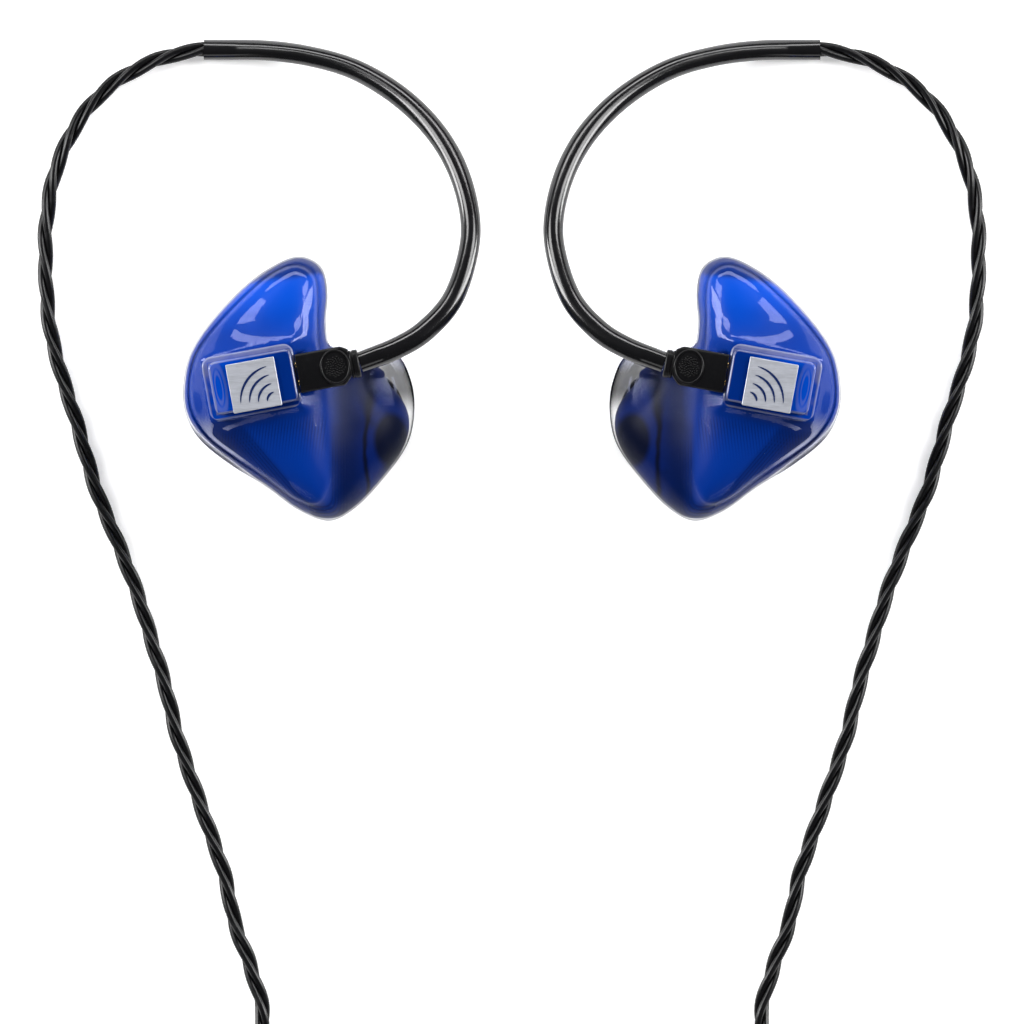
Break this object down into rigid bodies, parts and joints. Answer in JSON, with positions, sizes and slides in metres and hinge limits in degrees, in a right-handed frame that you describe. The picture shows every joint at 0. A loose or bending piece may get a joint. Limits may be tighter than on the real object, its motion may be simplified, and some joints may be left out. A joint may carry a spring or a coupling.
{
  "type": "in-ear monitors",
  "caption": "Pair of custom-moulded in-ear monitors with translucent shells, ear hooks on two-pin plugs and a coiled twisted cable ending in a 3.5 mm jack.",
  "frame": {"origin": "on the table, midway between the two earpieces, at the middle of the earpieces' and ear hooks' box", "axes": "+X towards the wearer's left earpiece, +Y up through the ear hooks, away from the jack, +Z up from the table, out of the faceplates"},
  "size_m": [0.1186, 0.2635, 0.0227],
  "materials": {
    "blue_resin": "translucent deep blue printed acrylic under clear lacquer",
    "clear_blue_lacquer": "translucent blue acrylic under thick clear gloss lacquer",
    "brushed_metal": "brushed light grey with a plain dark blue mark",
    "socket_plastic": "satin",
    "gold_plate": "polished gold plate",
    "driver_steel": "satin",
    "circuit_board": "solder mask",
    "clear_vinyl": "clear tubing",
    "damper_plastic": "moulded",
    "black_nylon": "semi-gloss",
    "smoky_shrink_tube": "glossy smoky black shrink tube",
    "spring_steel": "drawn wire",
    "cable_jacket": "glossy black jacket, three strands twisted together",
    "split_rubber": "satin",
    "tie_fabric": "woven hook-and-loop strap",
    "insulator": "satin"
  },
  "bodies": {
    "cable_set": {"right_plug_body": "black_nylon", "right_plug_pin_lower": "gold_plate", "right_plug_pin_upper": "gold_plate", "right_plug_collar": "black_nylon", "right_hook_tube": "smoky_shrink_tube", "right_memory_wire": "spring_steel", "right_hook_strands": "cable_jacket", "right_cable": "cable_jacket", "left_plug_body": "black_nylon", "left_plug_pin_lower": "gold_plate", "left_plug_pin_upper": "gold_plate", "left_plug_collar": "black_nylon", "left_hook_tube": "smoky_shrink_tube", "left_memory_wire": "spring_steel", "left_hook_strands": "cable_jacket", "left_cable": "cable_jacket", "y_split": "split_rubber", "main_cable_lead": "cable_jacket", "main_cable_coil": "cable_jacket", "main_cable_tail": "cable_jacket", "coil_tie": "tie_fabric", "jack_strain_relief": "black_nylon", "jack_housing": "black_nylon", "jack_sleeve": "gold_plate", "jack_lower_insulator": "insulator", "jack_ring": "gold_plate", "jack_upper_insulator": "insulator", "jack_tip": "gold_plate"},
    "right_earpiece": {"right_shell": "blue_resin", "right_faceplate": "clear_blue_lacquer", "right_badge": "brushed_metal", "right_socket_block": "socket_plastic", "right_socket_contact_lower": "gold_plate", "right_socket_contact_upper": "gold_plate", "right_woofer_driver": "driver_steel", "right_mid_driver": "driver_steel", "right_tweeter_driver": "driver_steel", "right_crossover_board": "circuit_board", "right_low_sound_tube": "clear_vinyl", "right_high_sound_tube": "clear_vinyl", "right_low_damper": "damper_plastic", "right_high_damper": "damper_plastic"},
    "left_earpiece": {"left_shell": "blue_resin", "left_faceplate": "clear_blue_lacquer", "left_badge": "brushed_metal", "left_socket_block": "socket_plastic", "left_socket_contact_lower": "gold_plate", "left_socket_contact_upper": "gold_plate", "left_woofer_driver": "driver_steel", "left_mid_driver": "driver_steel", "left_tweeter_driver": "driver_steel", "left_crossover_board": "circuit_board", "left_low_sound_tube": "clear_vinyl", "left_high_sound_tube": "clear_vinyl", "left_low_damper": "damper_plastic", "left_high_damper": "damper_plastic"},
    "cable_slider": {"slider": "split_rubber"}
  },
  "joints": [
    {"name": "right_plug_release", "type": "slide", "parent": "cable_set", "child": "right_earpiece", "axis": [-0.9839, -0.1788, 0], "range_m": [0, 0.0065]},
    {"name": "left_plug_release", "type": "slide", "parent": "cable_set", "child": "left_earpiece", "axis": [0.9839, -0.1788, 0], "range_m": [0, 0.0065]},
    {"name": "slider_travel", "type": "slide", "parent": "cable_set", "child": "cable_slider", "axis": [0, 1, 0], "range_m": [0, 0.01]}
  ]
}
